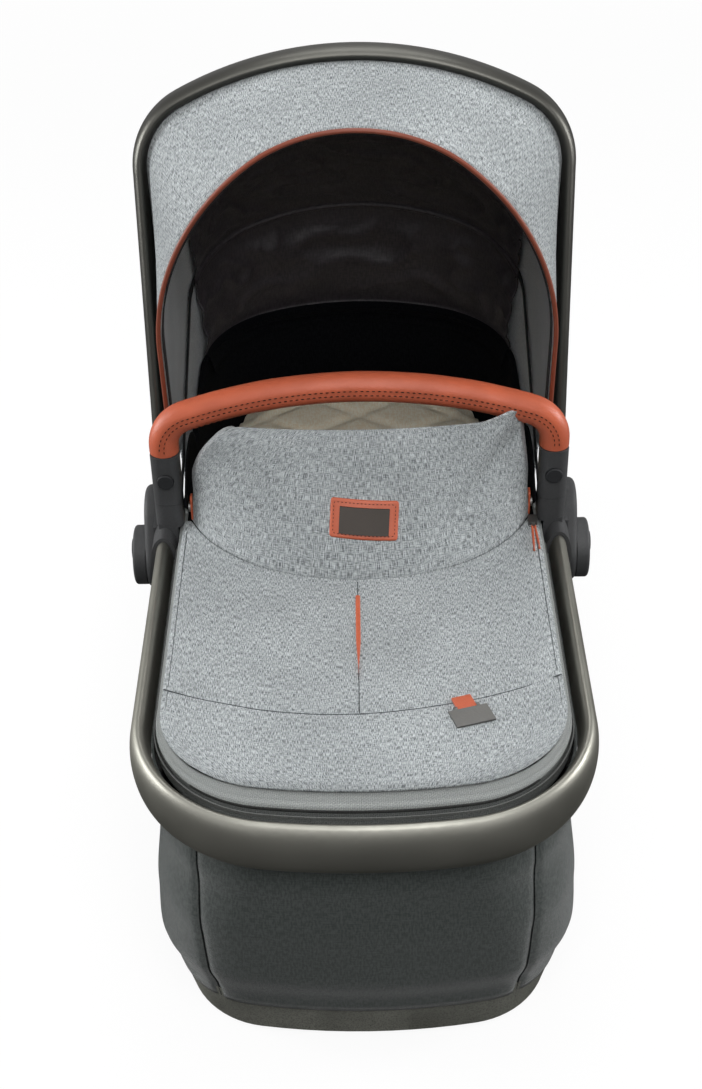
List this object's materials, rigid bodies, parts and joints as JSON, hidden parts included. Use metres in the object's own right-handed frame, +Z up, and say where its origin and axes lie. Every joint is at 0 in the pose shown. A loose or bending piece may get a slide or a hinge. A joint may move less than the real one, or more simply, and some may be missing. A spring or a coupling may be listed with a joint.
{
  "type": "baby stroller carrycot",
  "caption": "Pram carrycot: padded tub with folding arched hood, zipped apron with wind flap, leather bumper bar, oval tube frame and side lugs that a chassis holds.",
  "frame": {"origin": "on the floor under the middle of the overall box", "axes": "+Z up, +Y towards the head end under the hood, +X to the viewer's right in the picture"},
  "size_m": [0.459, 0.8619, 0.7062],
  "materials": {
    "melange": "woven grey-blue melange",
    "body_cloth": "dark teal-grey cloth",
    "lining": "black lining",
    "mattress_cloth": "quilted beige cloth",
    "foam": "rigid foam",
    "leather_tan": "tan leather",
    "tube_metal": "gunmetal",
    "hub_plastic": "black",
    "button_plastic": "dark grey",
    "base_plastic": "textured dark green-brown",
    "feet_rubber": "black",
    "steel": "brushed",
    "dark_plate": "gunmetal",
    "bright_metal": "polished",
    "zip_tape": "dark ribbed tape"
  },
  "bodies": {
    "cot": {"base_tray": "base_plastic", "base_feet": "feet_rubber", "foam_platform": "foam", "body_shell": "body_cloth", "inner_liner": "lining", "mattress": "mattress_cloth", "rim_band": "body_cloth", "front_frame": "tube_metal", "frame_rivets": "steel", "hub_block_left": "hub_plastic", "hub_block_right": "hub_plastic", "hub_inner_left": "hub_plastic", "hub_inner_right": "hub_plastic", "hub_outer_left": "hub_plastic", "hub_outer_right": "hub_plastic", "hub_screws": "steel", "pivot_pins": "steel", "chassis_lug_left": "hub_plastic", "chassis_lug_right": "hub_plastic", "lug_spring_left": "steel", "lug_spring_right": "steel", "apron_panel": "melange", "zip_chain": "zip_tape", "zip_slider": "bright_metal", "center_strip": "leather_tan", "tag_loop": "leather_tan", "flap_tabs": "leather_tan", "tab_poppers": "bright_metal"},
    "arch": {"arch_tube": "tube_metal", "arch_knuckle_left": "hub_plastic", "arch_knuckle_right": "hub_plastic", "arch_rivets": "steel", "hood_rear": "melange", "hood_visor": "melange"},
    "rear_bow": {"rear_bow": "steel"},
    "visor": {"visor_bow": "steel", "hood_piping": "leather_tan"},
    "bumper": {"bumper_core": "tube_metal", "bumper_cover": "leather_tan", "bumper_sleeve_left": "hub_plastic", "bumper_sleeve_right": "hub_plastic", "bumper_spring_left": "steel", "bumper_spring_right": "steel"},
    "bumper_button_left": {"bumper_button_left": "button_plastic"},
    "bumper_button_right": {"bumper_button_right": "button_plastic"},
    "lug_button_left": {"lug_button_left": "button_plastic"},
    "lug_button_right": {"lug_button_right": "button_plastic"},
    "flap": {"wind_flap": "melange", "name_patch": "leather_tan", "patch_plate": "dark_plate"},
    "zip_pull": {"zip_pull": "leather_tan"},
    "tag": {"tag_plate": "dark_plate"}
  },
  "joints": [
    {"name": "arch_fold", "type": "hinge", "parent": "cot", "child": "arch", "pos_m": [0, 0.035, 0.252], "axis": [1, 0, 0], "range_deg": [-72, 0], "deforming": ["hood_rear"]},
    {"name": "rear_bow_fold", "type": "hinge", "parent": "cot", "child": "rear_bow", "pos_m": [0, 0.035, 0.252], "axis": [1, 0, 0], "range_deg": [-18, 0]},
    {"name": "visor_tip", "type": "hinge", "parent": "arch", "child": "visor", "pos_m": [0, 0.035, 0.252], "axis": [1, 0, 0], "range_deg": [-13, 0], "deforming": ["hood_visor"]},
    {"name": "bumper_lift", "type": "slide", "parent": "cot", "child": "bumper", "axis": [0, 0, 1], "range_m": [0, 0.028]},
    {"name": "flap_fold", "type": "hinge", "parent": "cot", "child": "flap", "pos_m": [0, -0.123, 0.2985], "axis": [1, 0, 0], "range_deg": [0, 100], "deforming": ["wind_flap"]},
    {"name": "zip_pull_swing", "type": "hinge", "parent": "cot", "child": "zip_pull", "pos_m": [0.1655, -0.0394, 0.28576], "axis": [1, 0, 0], "range_deg": [-90, 0]},
    {"name": "tag_swing", "type": "hinge", "parent": "cot", "child": "tag", "pos_m": [0.086, -0.301, 0.29203], "axis": [0.9376, 0.342, -0.0625], "range_deg": [-90, 0]},
    {"name": "bumper_button_left_press", "type": "slide", "parent": "bumper", "child": "bumper_button_left", "axis": [0, 1, 0], "range_m": [0, 0.0025], "stiffness_N_per_m": 400, "deforming": ["bumper_spring_left"]},
    {"name": "lug_button_left_press", "type": "slide", "parent": "cot", "child": "lug_button_left", "axis": [1, 0, 0], "range_m": [0, 0.0025], "stiffness_N_per_m": 400, "deforming": ["lug_spring_left"]},
    {"name": "bumper_button_right_press", "type": "slide", "parent": "bumper", "child": "bumper_button_right", "axis": [0, 1, 0], "range_m": [0, 0.0025], "stiffness_N_per_m": 400, "deforming": ["bumper_spring_right"]},
    {"name": "lug_button_right_press", "type": "slide", "parent": "cot", "child": "lug_button_right", "axis": [-1, 0, 0], "range_m": [0, 0.0025], "stiffness_N_per_m": 400, "deforming": ["lug_spring_right"]}
  ],
  "couplings": [
    {"joint": "rear_bow_fold", "follows": "arch_fold", "ratio": 0.25}
  ]
}
